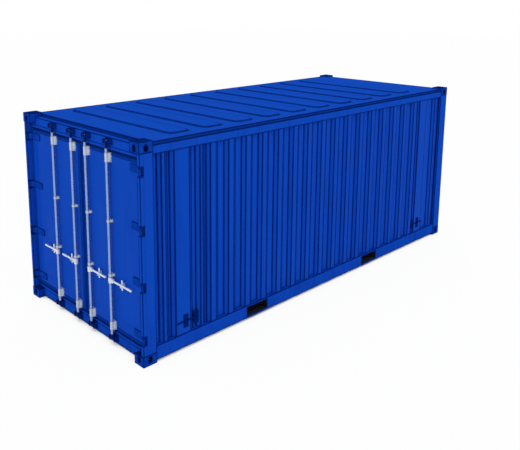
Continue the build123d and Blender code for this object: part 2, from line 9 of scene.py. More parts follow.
# %% Load the frame
import bpy
import bmesh
from math import cos, radians, sin
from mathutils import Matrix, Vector


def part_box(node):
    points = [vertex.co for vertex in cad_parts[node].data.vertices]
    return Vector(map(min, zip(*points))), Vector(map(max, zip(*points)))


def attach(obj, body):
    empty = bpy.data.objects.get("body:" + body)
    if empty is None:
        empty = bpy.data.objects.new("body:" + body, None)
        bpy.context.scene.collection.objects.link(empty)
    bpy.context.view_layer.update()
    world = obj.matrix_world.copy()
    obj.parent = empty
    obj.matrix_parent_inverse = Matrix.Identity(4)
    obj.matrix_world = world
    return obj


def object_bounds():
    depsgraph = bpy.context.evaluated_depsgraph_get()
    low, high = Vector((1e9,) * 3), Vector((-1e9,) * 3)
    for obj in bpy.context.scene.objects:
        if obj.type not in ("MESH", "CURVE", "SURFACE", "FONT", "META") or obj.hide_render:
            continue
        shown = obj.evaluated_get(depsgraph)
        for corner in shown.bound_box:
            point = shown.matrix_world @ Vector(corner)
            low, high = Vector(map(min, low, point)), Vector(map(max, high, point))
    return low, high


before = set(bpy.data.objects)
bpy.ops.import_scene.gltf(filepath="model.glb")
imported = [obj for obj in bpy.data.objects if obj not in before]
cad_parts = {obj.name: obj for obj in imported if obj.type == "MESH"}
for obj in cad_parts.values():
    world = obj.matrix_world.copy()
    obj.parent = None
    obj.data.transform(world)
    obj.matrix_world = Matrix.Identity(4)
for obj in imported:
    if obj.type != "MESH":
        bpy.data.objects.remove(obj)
cad_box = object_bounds()
whole_low = Vector(cad_box[0])
whole_high = Vector(cad_box[1])
print("container box", [round(size, 3) for size in whole_high - whole_low])

# %% [markdown]
# ## A small kit for node trees
#
# Every finish below is a tree of shader nodes. Written out in full, each link takes a line and hides
# the idea behind it. A few helpers keep the trees short: one makes a node and sets its values, one
# feeds a socket from either a number or another node, and the rest are the sums and mixes that come
# up again and again. The last one lays a second colour wherever a noise is high, both for stains and
# for painted shade.

# %% Nodes, sums and mixes

def make_node(tree, kind, settings=None, **inputs_by_name):
    """Add a node, set its options, and feed each input that the call names."""
    node = tree.nodes.new(kind)
    for name, value in (settings or {}).items():
        setattr(node, name, value)
    for name, value in inputs_by_name.items():
        feed(tree, value, node.inputs[name.replace("_", " ")])
    return node


def feed(tree, value, socket):
    """Link a socket to the output of another node, or set it to a plain value."""
    if isinstance(value, bpy.types.NodeSocket):
        tree.links.new(value, socket)
    else:
        socket.default_value = value


def calculate(tree, operation, first, second=0.0, clamp=False):
    node = make_node(tree, "ShaderNodeMath", {"operation": operation, "use_clamp": clamp})
    feed(tree, first, node.inputs[0])
    feed(tree, second, node.inputs[1])
    return node.outputs[0]


def mix_colours(tree, factor, first, second):
    node = make_node(tree, "ShaderNodeMix", {"data_type": "RGBA"})
    feed(tree, factor, node.inputs[0])
    feed(tree, first, node.inputs[6])
    feed(tree, second, node.inputs[7])
    return node.outputs[2]


def spread(tree, value, span, new_span=(0.0, 1.0)):
    """Stretch the part of a value inside one span over a new span, and clip the rest."""
    node = make_node(tree, "ShaderNodeMapRange", {"clamp": True})
    for socket, number in zip(node.inputs[:5], (value, *span, *new_span)):
        feed(tree, number, socket)
    return node.outputs[0]


def stain_and_shade(tree, colour, where, span, share, second):
    """Lay a second colour where a value is high: none below the span, the given share above it."""
    return mix_colours(tree, spread(tree, where, span, (0.0, share)), colour, second)


print("helpers for sums and mixes ready")

# %% [markdown]
# ## Patterns that stay on the steel
#
# A pattern could follow a texture map, the camera or the object itself. These parts have no texture
# map, and a pattern tied to the camera would slide over them, so each one here reads Object
# coordinates, which are metres on the container. Noise of a stated size then gives patches as large
# as the real ones, and a squeeze along one axis draws them out into streaks or grain.

# %% Patterns on object coordinates
cloud_roughness = 0.55
no_squeeze = (1.0, 1.0, 1.0)


def object_point(tree):
    return make_node(tree, "ShaderNodeTexCoord").outputs["Object"]


def place_on_object(tree, squeeze=no_squeeze):
    mapping = make_node(tree, "ShaderNodeMapping", Vector=object_point(tree))
    mapping.inputs["Scale"].default_value = squeeze
    return mapping.outputs[0]


def cloud(tree, size, squeeze=no_squeeze, detail=3.0):
    """Soft noise whose patches measure about size metres, longer along an axis with a low squeeze."""
    at = place_on_object(tree, squeeze)
    noise = make_node(tree, "ShaderNodeTexNoise", Vector=at, Scale=1.0 / size, Detail=detail)
    noise.inputs["Roughness"].default_value = cloud_roughness
    return noise.outputs[0]


print("helpers for patterns ready")

# %% [markdown]
# ## Where dirt gathers and where shade is painted
#
# Dirt splashes up from the ground and lies on what faces up. Painted shade darkens the tops of the
# rails, the rim of the roof and every bend, in place of the shade that falls there. The shader can
# find all of them by itself: from the height, from the way that a surface faces, and for a bend by
# comparing the true normal with one that the Bevel node softens over a short reach. Where the two
# differ, the surface bends. Painting such lines along every fold of a corrugated wall by hand would
# take days.

# %% Finding dirty places and places for painted shade
bevel_samples = 6
faces_up = (0.8, 0.95)
stands_upright = (0.5, 0.3)


def object_height(tree):
    parts = make_node(tree, "ShaderNodeSeparateXYZ", Vector=object_point(tree))
    return parts.outputs["Z"]


def facing(tree, axis):
    """How far a surface faces along an axis, from minus one to one."""
    surface = make_node(tree, "ShaderNodeNewGeometry")
    parts = make_node(tree, "ShaderNodeSeparateXYZ", Vector=surface.outputs["Normal"])
    return parts.outputs[axis]


def rim_band(tree, box, width):
    """One within a width of the sides and ends of a box, zero further in."""
    parts = make_node(tree, "ShaderNodeSeparateXYZ", Vector=object_point(tree))
    near = []
    for axis, name in enumerate(("X", "Y")):
        middle = (box[0][axis] + box[1][axis]) / 2
        half = (box[1][axis] - box[0][axis]) / 2
        away = calculate(tree, "ABSOLUTE", calculate(tree, "SUBTRACT", parts.outputs[name], middle))
        near.append(calculate(tree, "GREATER_THAN", away, half - width))
    return calculate(tree, "MAXIMUM", near[0], near[1])


def bend_shade_mask(tree, reach, span):
    """Mask of painted shade lines: one where a surface bends within reach, zero on the flat, from two
    normals.
    """
    surface = make_node(tree, "ShaderNodeNewGeometry")
    softened = make_node(tree, "ShaderNodeBevel", {"samples": bevel_samples}, Radius=reach)
    alike = make_node(tree, "ShaderNodeVectorMath", {"operation": "DOT_PRODUCT"})
    feed(tree, surface.outputs["Normal"], alike.inputs[0])
    feed(tree, softened.outputs[0], alike.inputs[1])
    return spread(tree, calculate(tree, "SUBTRACT", 1.0, alike.outputs["Value"]), span)


print("helpers for dirt ready")

# %% [markdown]
# ## Starting a finish
#
# A finish is a material whose main shader gets a colour, a roughness and a slightly uneven skin.
# Three helpers start one, give it a roughness that wanders between two values, and raise its skin
# by a depth in metres.

# %% Starting a finish
soft_patches = (0.3, 0.7)


def new_finish(name):
    material = bpy.data.materials.new(name)
    material.use_nodes = True
    tree = material.node_tree
    shader = tree.nodes["Principled BSDF"]
    return material, tree, shader


def uneven_roughness(tree, shader, where, least, most, span=soft_patches):
    tree.links.new(spread(tree, where, span, (least, most)), shader.inputs["Roughness"])


def raise_skin(tree, shader, height, depth):
    bump = make_node(tree, "ShaderNodeBump", Height=height, Strength=1.0, Distance=depth)
    tree.links.new(bump.outputs["Normal"], shader.inputs["Normal"])


print("helpers for finishes ready")

# %% [markdown]
# ## Colours
#
# The container wears one strong blue. Worn paint is a touch lighter, and there is a row of deeper
# blues: for small painted parts, for dirt, and for painted shade in seams, in bends, on the tops of
# the rails and round the roof. Colours are easiest to choose as screen values, so a helper turns
# those into the linear values that shaders work in.

# %% Colours

def screen_colour(red, green, blue):
    def linear(level):
        share = level / 255
        return share / 12.92 if share <= 0.04045 else ((share + 0.055) / 1.055) ** 2.4
    return (linear(red), linear(green), linear(blue), 1.0)


container_blue = screen_colour(10, 70, 187)
frame_blue = screen_colour(18, 72, 188)
worn_blue = screen_colour(12, 76, 190)
roof_blue = screen_colour(22, 74, 186)
cast_blue = screen_colour(8, 56, 156)
deep_blue = screen_colour(4, 44, 132)
# The next three blues are painted shade for rail tops, the roof rim, seams and bends; the first also
# colours dirt and dark paint.
shade_dirt_and_paint_blue = screen_colour(2, 34, 104)
seam_shade_blue = screen_colour(2, 30, 98)
bend_shade_blue = screen_colour(0, 20, 92)
zinc_bright = screen_colour(234, 241, 247)
zinc_dull = screen_colour(196, 208, 220)
rod_bright = screen_colour(148, 174, 220)
rod_dull = screen_colour(122, 148, 198)
zinc_stain_and_shade = screen_colour(96, 106, 122)
rubber_dark = screen_colour(6, 20, 58)
rubber_dust = screen_colour(22, 40, 84)
coating_dark = screen_colour(10, 14, 24)
coating_dust = screen_colour(40, 44, 52)
plywood_light = screen_colour(176, 132, 88)
plywood_dark = screen_colour(112, 76, 46)
plywood_scuffed = screen_colour(84, 62, 44)
steel_grey = screen_colour(150, 154, 160)
print("container blue as a linear colour", [round(level, 3) for level in container_blue[:3]])

# %% [markdown]
# ## Blue paint: how it weathers
#
# Sprayed paint on a container is never one colour. Large soft patches come from uneven spraying and
# fading, thin upright streaks from rain, and splashes from the ground. Painting them by hand would
# need a texture map for every part. Three noises of different size and squeeze do it for all parts
# at once, each mixed in lightly, so that the blue stays one blue.

# %% Blue paint: how it weathers
patch_span = (0.35, 0.7)
patch_share = 0.55
streak_size = 0.05
streak_squeeze = (1.0, 1.0, 0.05)
streak_span = (0.52, 0.75)
streak_share = 0.30
splash_height = 0.45
splash_size = 0.12
splash_squeeze = (1.0, 1.0, 0.5)
splash_span = (0.42, 0.72)
splash_share = 0.45


def weathered(tree, base, patch_size):
    """A base colour with faded patches, rain streaks and splashes near the ground."""
    colour = stain_and_shade(tree, base, cloud(tree, patch_size), patch_span, patch_share, worn_blue)
    streaks = cloud(tree, streak_size, streak_squeeze, detail=4.0)
    colour = stain_and_shade(tree, colour, streaks, streak_span, streak_share, deep_blue)
    low_down = spread(tree, object_height(tree), (splash_height, 0.0))
    spots = spread(tree, cloud(tree, splash_size, splash_squeeze, detail=5.0), splash_span)
    splashes = calculate(tree, "MULTIPLY", low_down, spots)
    return mix_colours(tree, calculate(tree, "MULTIPLY", splashes, splash_share), colour, deep_blue)


print("weathering ready")

# %% [markdown]
# ## Blue paint: the whole finish
#
# Over the weathered colour come painted shade on what faces up, painted shade round a rim, half as
# strong on its upright side, and a narrow line of painted shade in every bend. How much of each there
# is stays open, because only rails and roof show the painted shade on top. The skin of sprayed sheet
# is a little rough and slightly dented, and both are far too small to model, so a fine noise over a
# slow one drives a shallow bump.

# %% Blue paint: the whole finish
paint_shine = 0.015
small_fold = 0.010
sheet_bends = (0.0004, 0.004)
roof_rim = 0.03
satin_rough = 0.42
chalky_rough = 0.6
rough_drop = 0.06
rough_rise = 0.14
rough_patch_size = 0.35
skin_grain = 0.004
skin_grain_share = 0.12
skin_dent = 0.5


def paint_tree(
    name, base, patch_size, skin_depth,
    top_shade=0.0, rim_shade=0.0, shine=paint_shine, fold=small_fold, bend_shade_colour=seam_shade_blue
):
    material, tree, shader = new_finish(name)
    shader.inputs["Specular IOR Level"].default_value = shine
    colour = weathered(tree, base, patch_size)
    # Painted shade: faces that look up get darker, as on the tops of the rails.
    if top_shade:
        colour = stain_and_shade(tree, colour, facing(tree, "Z"), faces_up, top_shade, shade_dirt_and_paint_blue)
    # Painted shade round the roof: upright faces at half strength, then a band along the rim on top.
    if rim_shade:
        colour = stain_and_shade(tree, colour, facing(tree, "Z"), stands_upright, rim_shade / 2, shade_dirt_and_paint_blue)
        flat = spread(tree, facing(tree, "Z"), faces_up, (0.0, rim_shade))
        rim = calculate(tree, "MULTIPLY", rim_band(tree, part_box("roof"), roof_rim), flat)
        colour = mix_colours(tree, rim, colour, shade_dirt_and_paint_blue)
    # Painted shade: a dark line along every bend.
    if fold:
        colour = mix_colours(tree, bend_shade_mask(tree, fold, sheet_bends), colour, bend_shade_colour)
    tree.links.new(colour, shader.inputs["Base Color"])
    rough = satin_rough if shine else chalky_rough
    patches = cloud(tree, rough_patch_size)
    uneven_roughness(tree, shader, patches, rough - rough_drop, rough + rough_rise)
    grain = calculate(tree, "MULTIPLY", cloud(tree, skin_grain, detail=2.0), skin_grain_share)
    dents = cloud(tree, skin_dent, detail=1.0)
    raise_skin(tree, shader, calculate(tree, "ADD", grain, dents), skin_depth)
    return material


print("blue paint ready")

# %% [markdown]
# ## Blue paint: five mixes
#
# One tree then gives five paints. The doors are flat sheets and get no lines of painted shade. The
# walls bend often and sharply, so their lines of painted shade reach furthest. The frame and the roof
# have lost their gloss in the sun, rails carry painted shade on top, and the roof carries it round its
# rim. Each skin below is the size of the faded patches and the depth of the dents, both larger on wide
# sheets than on narrow rails.

# %% Blue paint: five mixes
post_fold = 0.014
roof_fold = 0.016
wall_fold = 0.024
dirt_and_shade_share = 0.9
door_skin = (0.9, 0.0012)
sheet_skin = (0.9, 0.0020)
frame_skin = (0.7, 0.0008)

door_paint = paint_tree("Blue paint on the doors", container_blue, *door_skin, fold=0.0)
wall_paint = paint_tree(
    "Blue paint on corrugated sheet", container_blue, *sheet_skin, fold=wall_fold, bend_shade_colour=bend_shade_blue
)
frame_paint = paint_tree(
    "Blue paint on the frame", frame_blue, *frame_skin, shine=0.0, fold=post_fold, bend_shade_colour=bend_shade_blue
)
# Painted shade: the tops of the rails and the rim of the roof are darkened.
rail_paint = paint_tree(
    "Blue paint on the roof rails", frame_blue, *frame_skin, top_shade=dirt_and_shade_share, shine=0.0
)
roof_paint = paint_tree(
    "Chalky blue paint on the roof", roof_blue, *sheet_skin, rim_shade=dirt_and_shade_share, shine=0.0, fold=roof_fold
)
print("materials after the blue paints", len(bpy.data.materials))

# %% [markdown]
# ## Cast and forged steel under paint
#
# Corner castings come out of a sand mould, so their faces stay grainy under the paint, and lifting
# gear rubs the paint thin around the apertures and leaves grime on top. Every bend gets a line of
# painted shade. Hinge blades are forged and smoother. The same tree serves both, with a coarser and
# a finer grain, and with other blues it also paints keepers, cleats and the lips of the door seals;
# on the cleats the darker blues are painted shade. Inside the hollows of the castings hardly any
# light reaches the paint, which gives the near black of real ones, so nothing extra is needed.

# %% Cast and forged steel
casting_fold = 0.018
cast_bends = (0.004, 0.03)
cast_patch_size = 0.08
cast_patch_span = (0.4, 0.7)
cast_patch_share = 0.7
rub_size = 0.015
rub_span = (0.66, 0.72)
cast_rough = (0.42, 0.62)
cast_rough_patch = 0.03


def cast_tree(name, grain_size, grain_depth, wear, base=cast_blue, worn=frame_blue, fold=small_fold):
    material, tree, shader = new_finish(name)
    shader.inputs["Specular IOR Level"].default_value = 0.0
    patches = cloud(tree, cast_patch_size)
    colour = stain_and_shade(tree, base, patches, cast_patch_span, cast_patch_share, worn)
    colour = stain_and_shade(tree, colour, cloud(tree, rub_size, detail=5.0), rub_span, wear, deep_blue)
    colour = stain_and_shade(tree, colour, facing(tree, "Z"), faces_up, dirt_and_shade_share, shade_dirt_and_paint_blue)
    # Painted shade: a dark line along every bend.
    colour = mix_colours(tree, bend_shade_mask(tree, fold, cast_bends), colour, bend_shade_blue)
    tree.links.new(colour, shader.inputs["Base Color"])
    uneven_roughness(tree, shader, cloud(tree, cast_rough_patch), *cast_rough)
    raise_skin(tree, shader, cloud(tree, grain_size, detail=4.0), grain_depth)
    return material


sand_cast = {"grain_size": 0.006, "grain_depth": 0.0012, "wear": 0.6}
forged = {"grain_size": 0.004, "grain_depth": 0.0005, "wear": 0.3}
casting_paint = cast_tree("Blue paint on cast steel", **sand_cast, fold=casting_fold)
hinge_paint = cast_tree("Blue paint on forged steel", **forged)
keeper_paint = cast_tree("Deep blue paint on keepers", **forged, base=deep_blue, worn=shade_dirt_and_paint_blue)
# The cleats are darkened as painted shade.
cleat_shade_paint = cast_tree("Cleat blue darkened with painted shade", **forged, base=shade_dirt_and_paint_blue, worn=seam_shade_blue)
lip_paint = cast_tree("Deep blue paint on the seal lips", **forged, worn=deep_blue)
print("materials after cast and forged steel", len(bpy.data.materials))

# %% [markdown]
# ## Galvanised lock gear
#
# Hot dip zinc freezes in flat crystals, called spangle, so its grey is broken into small sharp
# patches of slightly different brightness. A Voronoi texture has that look. Brackets and handles are
# weathered, so little of their grey is metallic. The rods are rubbed smooth, so their shader is more
# metallic and less rough: they catch the light along a narrow line and mirror the blue door at their
# sides. Both ends of a rod are painted, where its cams turn in the keepers, and that boundary
# follows the height on the container.

# %% Galvanised lock gear
spangle_scale = 90.0
spangle_share = 0.6
stain_size = 0.03
stain_squeeze = (1.0, 1.0, 0.25)
stain_span = (0.58, 0.74)
stain_share = 0.45
zinc_skin_size = 0.008
zinc_skin_depth = 0.0004
plate_bends = (0.01, 0.08)
plate_fold_share = 0.75
plate_metal = 0.35
plate_rough = (0.38, 0.56)
rod_metal = 0.85
rod_rough = (0.22, 0.34)
low_paint_edge = (0.135, 0.125)
high_paint_edge = (2.265, 2.275)
whole_span = (0.0, 1.0)


def zinc_tree(name, bright, dull, rough, painted_ends=False, fold=0.0):
    material, tree, shader = new_finish(name)
    at = place_on_object(tree)
    crystals = make_node(tree, "ShaderNodeTexVoronoi", Vector=at, Scale=spangle_scale)
    patches = make_node(tree, "ShaderNodeSeparateColor")
    feed(tree, crystals.outputs["Color"], patches.inputs[0])
    colour = stain_and_shade(tree, bright, patches.outputs[0], whole_span, spangle_share, dull)
    stains = cloud(tree, stain_size, stain_squeeze, detail=4.0)
    colour = stain_and_shade(tree, colour, stains, stain_span, stain_share, zinc_stain_and_shade)
    # Painted shade: a dark line along the bends of the brackets.
    if fold:
        folds = calculate(tree, "MULTIPLY", bend_shade_mask(tree, fold, plate_bends), plate_fold_share)
        colour = mix_colours(tree, folds, colour, zinc_stain_and_shade)
    metal = plate_metal
    if painted_ends:
        shader.inputs["Specular IOR Level"].default_value = paint_shine
        low_end = spread(tree, object_height(tree), low_paint_edge)
        high_end = spread(tree, object_height(tree), high_paint_edge)
        ends = calculate(tree, "ADD", low_end, high_end, clamp=True)
        colour = mix_colours(tree, ends, colour, shade_dirt_and_paint_blue)
        metal = spread(tree, ends, whole_span, (rod_metal, 0.0))
    tree.links.new(colour, shader.inputs["Base Color"])
    feed(tree, metal, shader.inputs["Metallic"])
    uneven_roughness(tree, shader, patches.outputs[1], *rough, span=whole_span)
    raise_skin(tree, shader, cloud(tree, zinc_skin_size), zinc_skin_depth)
    return material


zinc = zinc_tree("Galvanised steel", zinc_bright, zinc_dull, plate_rough)
plate_zinc = zinc_tree("Galvanised brackets", zinc_bright, zinc_dull, plate_rough, fold=post_fold)
rod_zinc = zinc_tree(
    "Galvanised rods with painted ends", rod_bright, rod_dull, rod_rough, painted_ends=True
)
print("materials after the zinc", len(bpy.data.materials))

# %% [markdown]
# ## Rubber, underframe coating, fasteners and seams
#
# The door seal is extruded rubber with dust in it. The underframe wears a thick dark coating that
# never dries quite smooth, plated fasteners have small dull spots, and the weld beads in the seams get
# a deep, uneven blue that is painted shade. All of them are a base with specks over it, so one tree
# serves, with a size, a depth and a roughness for each.

# %% Speckled finishes
speck_span = (0.45, 0.75)
speck_share = 0.8
rough_play = 0.08


def speckled_tree(name, base, speck, size, depth, rough, metal=0.0, shine=0.3):
    material, tree, shader = new_finish(name)
    shader.inputs["Specular IOR Level"].default_value = shine
    shader.inputs["Metallic"].default_value = metal
    colour = stain_and_shade(tree, base, cloud(tree, size, detail=5.0), speck_span, speck_share, speck)
    tree.links.new(colour, shader.inputs["Base Color"])
    uneven_roughness(tree, shader, cloud(tree, size * 2), rough - rough_play, rough + rough_play)
    raise_skin(tree, shader, cloud(tree, size / 2), depth)
    return material


seal_rubber = speckled_tree(
    "Seal rubber", rubber_dark, rubber_dust, size=0.02, depth=0.0006, rough=0.78
)
underframe_coating = speckled_tree(
    "Dark underframe coating", coating_dark, coating_dust, size=0.05, depth=0.0015, rough=0.7
)
fastener_steel = speckled_tree(
    "Plated fasteners", steel_grey, zinc_stain_and_shade, size=0.01, depth=0.0003, rough=0.4, metal=0.7
)
# Painted shade: this deep blue darkens every weld and sealant bead.
seam_shade_paint = speckled_tree(
    "Seam blue darkened with painted shade", seam_shade_blue, deep_blue, size=0.03, depth=0.0010, rough=0.55, shine=0.0
)
print("materials after the speckled finishes", len(bpy.data.materials))

# %% [markdown]
# ## Sealed plywood
#
# The floor is sealed plywood, whose grain runs along each board. A wave texture bent by noise gives
# growth lines, and squeezing it less along the board than across draws them out into grain. Boots
# and pallets leave long scuffs on top.

# %% Sealed plywood
ring_scale = 1.2
ring_bend = 7.0
grain_squeeze = (9.0, 0.8, 9.0)
grain_span = (0.1, 0.9)
grain_share = 0.7
wood_grain_depth = 0.0006
sealed_rough = 0.62
scuff_size = 0.25
scuff_squeeze = (1.0, 0.3, 1.0)
scuff_span = (0.5, 0.75)
scuff_share = 0.55


def plywood_tree(name):
    material, tree, shader = new_finish(name)
    at = place_on_object(tree, grain_squeeze)
    rings = make_node(tree, "ShaderNodeTexWave", Vector=at, Scale=ring_scale, Detail=3.0)
    rings.inputs["Distortion"].default_value = ring_bend
    colour = stain_and_shade(tree, plywood_light, rings.outputs[0], grain_span, grain_share, plywood_dark)
    scuffs = cloud(tree, scuff_size, scuff_squeeze, detail=6.0)
    colour = stain_and_shade(tree, colour, scuffs, scuff_span, scuff_share, plywood_scuffed)
    tree.links.new(colour, shader.inputs["Base Color"])
    shader.inputs["Roughness"].default_value = sealed_rough
    raise_skin(tree, shader, rings.outputs[0], wood_grain_depth)
    return material


floor_plywood = plywood_tree("Sealed plywood")
print("materials after the plywood", len(bpy.data.materials))

# %% [markdown]
# ## Give each part its finish
#
# Parts that come with the frame keep their shape and only change material. The name of a part says
# what it is made of, so a short table from words to finishes covers all of them. The first word that
# fits wins, and a part that no word fits belongs to the frame.

# %% Give each part its finish
finish_by_word = {
    "casting": casting_paint,
    "side_wall": wall_paint,
    "front_wall": wall_paint,
    "rail_top": rail_paint,
    "roof": roof_paint,
    "panel": door_paint,
    "_frame": door_paint,
    "hinges": hinge_paint,
    "hinge_lugs": hinge_paint,
    "keepers": keeper_paint,
    "cleats": cleat_shade_paint,
    "gasket": seal_rubber,
    "bar_guides": plate_zinc,
    "catches": zinc,
    "handle": zinc,
    "lock_bar": rod_zinc,
    "cross_members": underframe_coating,
    "fork_pockets": underframe_coating,
    "floor": floor_plywood,
}
for node_name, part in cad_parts.items():
    words = [word for word in finish_by_word if word in node_name]
    finish = finish_by_word[words[0]] if words else frame_paint
    part.data.materials.clear()
    part.data.materials.append(finish)
print("parts finished", len(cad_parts))

# %% [markdown]
# ## Finding the solids of a part
#
# Some parts hold several solids, such as the eight lock bar brackets on a door, and the script needs
# the box of each to put bolts on it. A part's mesh is loose triangles, so it is read from a merged
# copy, which is thrown away again. In that copy every solid is an island, found by walking from
# vertex to vertex along the edges.

# %% Finding the solids of a part
merge_distance = 0.00001


def corners_of(node_name):
    """Low and high corner of a part, as vectors."""
    return [Vector(corner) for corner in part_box(node_name)]


def merged_copy(node_name):
    work = bmesh.new()
    work.from_mesh(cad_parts[node_name].data)
    bmesh.ops.remove_doubles(work, verts=work.verts, dist=merge_distance)
    return work


def solid_boxes(node_name):
    """Low and high corner of every separate solid in a part."""
    work = merged_copy(node_name)
    waiting = set(work.verts)
    boxes = []
    while waiting:
        island = set()
        growing = [waiting.pop()]
        while growing:
            vertex = growing.pop()
            island.add(vertex)
            for edge in vertex.link_edges:
                other = edge.other_vert(vertex)
                if other in waiting:
                    waiting.discard(other)
                    growing.append(other)
        spans = [[vertex.co[axis] for vertex in island] for axis in range(3)]
        boxes.append((Vector(map(min, spans)), Vector(map(max, spans))))
    work.free()
    return boxes


print("brackets on the left door", len(solid_boxes("door_left_bar_guides")))

# %% [markdown]
# ## Finding the rim of a part
#
# A weld runs along the rim of a part where it meets the next. Typing those lines in would go wrong
# as soon as a size changes, so they are read from the same kind of copy: the edges at one end of the
# part that border its end face.

# %% Finding the rim of a part
rim_tolerance = 0.0002
flat_enough = 0.99
y_axis = 1
z_axis = 2


def rim_lines(node_name, axis, at_high, keep=lambda point: True):
    """Straight pieces of a part's rim: edges that bound its face at one end of an axis."""
    work = merged_copy(node_name)
    places = [vertex.co[axis] for vertex in work.verts]
    level = max(places) if at_high else min(places)
    lines = []
    for edge in work.edges:
        ends = [vertex.co.copy() for vertex in edge.verts]
        if any(abs(end[axis] - level) > rim_tolerance for end in ends):
            continue
        flat = [abs(face.normal[axis]) > flat_enough for face in edge.link_faces]
        middle = (ends[0] + ends[1]) / 2
        if not all(flat) and keep(middle):
            lines.append(ends)
    work.free()
    return lines


print("lines round the foot of a side wall", len(rim_lines("side_wall_left", z_axis, False)))

# %% [markdown]
# ## Weld beads: sweeping a ring
#
# A container is welded all round every joint and the joint is then painted over. Here each part is
# outlined by a thin raised line whose darker blue is painted shade, standing in for the shade in each
# joint. A modelled strip per joint would be slow, and a painted line would have no shadow. Geometry
# Nodes do it well: the tree takes loose edges, turns them into curves, sweeps a ring of a named
# radius along them and sets the paint. One tree serves every joint.

# %% Weld beads: the tree
bead_radius = 0.0035
bead_sides = 6


def empty_tree(name, number_inputs):
    """A tree with a geometry input, named number inputs and a geometry output."""
    tree = bpy.data.node_groups.new(name, "GeometryNodeTree")
    tree.interface.new_socket("Geometry", in_out="INPUT", socket_type="NodeSocketGeometry")
    for input_name, default in number_inputs.items():
        kind = "NodeSocketInt" if isinstance(default, int) else "NodeSocketFloat"
        socket = tree.interface.new_socket(input_name, in_out="INPUT", socket_type=kind)
        socket.default_value = default
    tree.interface.new_socket("Geometry", in_out="OUTPUT", socket_type="NodeSocketGeometry")
    start = tree.nodes.new("NodeGroupInput")
    end = tree.nodes.new("NodeGroupOutput")
    return tree, start, end


def finish_tree(tree, geometry, material, end):
    solid = make_node(tree, "GeometryNodeRealizeInstances", Geometry=geometry)
    coloured = make_node(tree, "GeometryNodeSetMaterial", Geometry=solid.outputs[0])
    coloured.inputs["Material"].default_value = material
    tree.links.new(coloured.outputs[0], end.inputs[0])


def bead_tree(name, material):
    tree, start, end = empty_tree(name, {"Radius": bead_radius, "Sides": bead_sides})
    path = make_node(tree, "GeometryNodeMeshToCurve", Mesh=start.outputs["Geometry"])
    ring = make_node(tree, "GeometryNodeCurvePrimitiveCircle", Resolution=start.outputs["Sides"])
    tree.links.new(start.outputs["Radius"], ring.inputs["Radius"])
    swept = make_node(tree, "GeometryNodeCurveToMesh", Curve=path.outputs[0])
    tree.links.new(ring.outputs[0], swept.inputs["Profile Curve"])
    swept.inputs["Fill Caps"].default_value = True
    finish_tree(tree, swept.outputs[0], material, end)
    return tree


# Every bead carries the seam blue, which is painted shade.
beads = bead_tree("Weld bead", seam_shade_paint)
print("bead tree with", len(beads.nodes), "nodes")

# %% [markdown]
# ## Growing a piece
#
# A tree needs something to work on. The next helpers give it a seed of loose points and edges, keep
# the result as a plain mesh, and say which body that mesh rides on. A live modifier would do as well
# in Blender, but a plain mesh also survives an export.

# %% Growing a piece from points and edges
place_digits = 5


def ride_on(piece, body):
    """Put a finished piece in the scene, on its body."""
    bpy.context.scene.collection.objects.link(piece)
    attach(piece, body)
    print(piece.name, len(piece.data.polygons), "faces on", body)


def grown_piece(name, seed, tree, values, body):
    """Run a tree on points and edges, and keep the result as a plain mesh that rides on a body."""
    points, edges = seed
    seed_mesh = bpy.data.meshes.new(name + "_seed")
    seed_mesh.from_pydata(points, edges, [])
    carrier = bpy.data.objects.new(name + "_carrier", seed_mesh)
    bpy.context.scene.collection.objects.link(carrier)
    modifier = carrier.modifiers.new("Grow", "NODES")
    modifier.node_group = tree
    for item in tree.interface.items_tree:
        if item.in_out == "INPUT" and item.name in values:
            modifier[item.identifier] = values[item.name]
    evaluated = carrier.evaluated_get(bpy.context.evaluated_depsgraph_get())
    mesh = bpy.data.meshes.new_from_object(evaluated)
    mesh.name = name
    bpy.data.objects.remove(carrier)
    ride_on(bpy.data.objects.new(name, mesh), body)


def seed_from_lines(lines):
    """Join straight pieces that share ends into points and edges."""
    index_by_place = {}
    points = []
    edges = []
    for line in lines:
        pair = []
        for end in line:
            place = tuple(round(value, place_digits) for value in end)
            if place not in index_by_place:
                index_by_place[place] = len(points)
                points.append(place)
            pair.append(index_by_place[place])
        if pair[0] != pair[1]:
            edges.append(tuple(pair))
    return points, edges


def lay_bead(name, lines, radius):
    grown_piece(name, seed_from_lines(lines), beads, {"Radius": radius}, "container")


print("piece helpers ready")

# %% [markdown]
# ## Weld beads: the frame
#
# The list of joints follows the build: posts and rails to castings, and the end beams to the
# castings. The rims of hollow parts have an inner line that no one sees, so a test on the place of
# each line keeps only what shows. The header and the sill get one more line each, a bead of sealant
# that runs beside the doors and keeps water out of the seam behind the seal.

# %% Weld beads: the frame
skin_band = 0.012
face_band = 0.001
sealant_from_doors = 0.04


def near_skin(point):
    """True close to the outer faces of the frame, where a bead can be seen."""
    side_gap = whole_high.x - abs(point.x)
    end_gap = whole_high.y - abs(point.y)
    return side_gap < skin_band or end_gap < skin_band


def beam_lines(beam):
    """The low and high rim of an end beam, on its outer face only."""
    low, high = corners_of(beam)
    face_y = low.y if beam.startswith("door") else high.y

    def on_outer_face(point):
        return abs(point.y - face_y) < face_band

    return rim_lines(beam, z_axis, False, on_outer_face) + rim_lines(beam, z_axis, True, on_outer_face)


frame_lines = []
for hand in ("left", "right"):
    for end in ("door", "front"):
        for at_high in (False, True):
            frame_lines += rim_lines(f"post_{end}_{hand}", z_axis, at_high, near_skin)
    for at_high in (False, True):
        frame_lines += rim_lines(f"rail_bottom_{hand}", y_axis, at_high)
        frame_lines += rim_lines(f"rail_top_{hand}", y_axis, at_high, near_skin)
for beam in ("door_sill", "door_header", "front_sill", "front_header"):
    frame_lines += beam_lines(beam)

